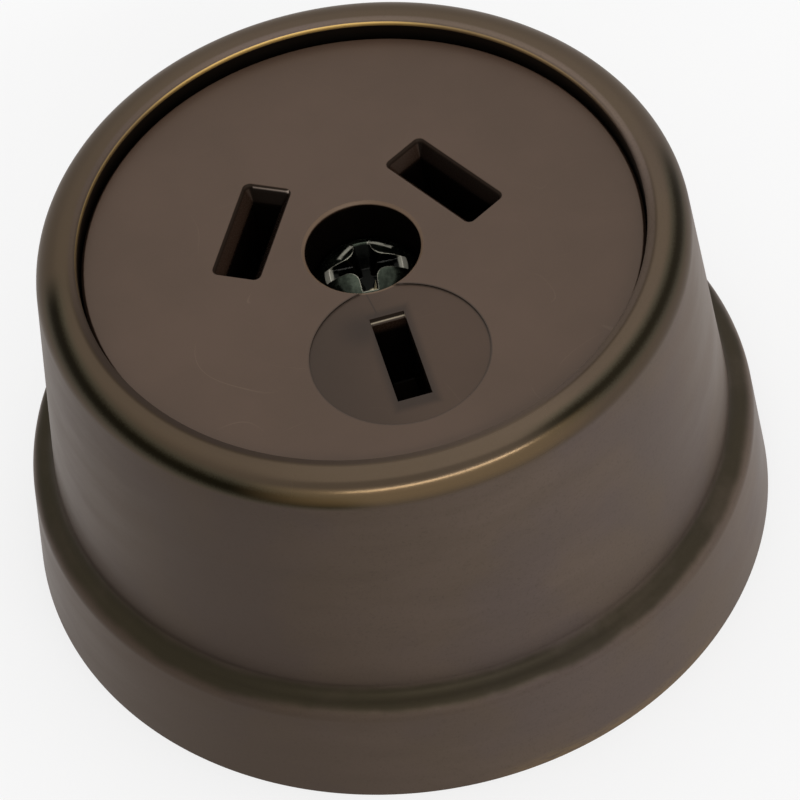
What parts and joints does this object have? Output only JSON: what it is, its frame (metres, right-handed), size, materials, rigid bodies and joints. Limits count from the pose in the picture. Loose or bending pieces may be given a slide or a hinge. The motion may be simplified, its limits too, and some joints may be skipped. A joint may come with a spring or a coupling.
{
  "type": "socket insert",
  "caption": "Round flat-pin socket insert: brown moulded face with slanted pin slots and a centre screw, in a stepped bronze cover over an insulating base.",
  "frame": {"origin": "middle of the mounting face, at the foot of the cover", "axes": "+Z out of the wall towards the pin face, +Y up on the wall with the earth slot towards -Y"},
  "size_m": [0.0524, 0.0524, 0.029],
  "materials": {
    "aged_bronze": "satin, brushed round, darkened, worn brighter on the edges",
    "brown_moulding": "semi-gloss brown moulding with fine swirl scratches",
    "dark_moulding": "matte dark brown moulding",
    "plated_steel": "dull plated steel",
    "terminal_brass": "machined brass",
    "spring_bronze": "rolled spring bronze",
    "vulcanised_fibre": "matte red-brown fibre sheet"
  },
  "bodies": {
    "root": {"cover_shell": "aged_bronze", "face_cap": "brown_moulding", "base": "dark_moulding", "centre_screw": "plated_steel", "captive_washer": "plated_steel", "threaded_bush": "terminal_brass", "insulating_disc": "vulcanised_fibre", "earth_bond_strip": "spring_bronze", "active_contact": "spring_bronze", "active_terminal": "terminal_brass", "active_clamp_screw": "plated_steel", "active_fixing_screw": "plated_steel", "neutral_contact": "spring_bronze", "neutral_terminal": "terminal_brass", "neutral_clamp_screw": "plated_steel", "neutral_fixing_screw": "plated_steel", "earth_contact": "spring_bronze", "earth_terminal": "terminal_brass", "earth_clamp_screw": "plated_steel", "earth_fixing_screw": "plated_steel"}
  },
  "joints": []
}
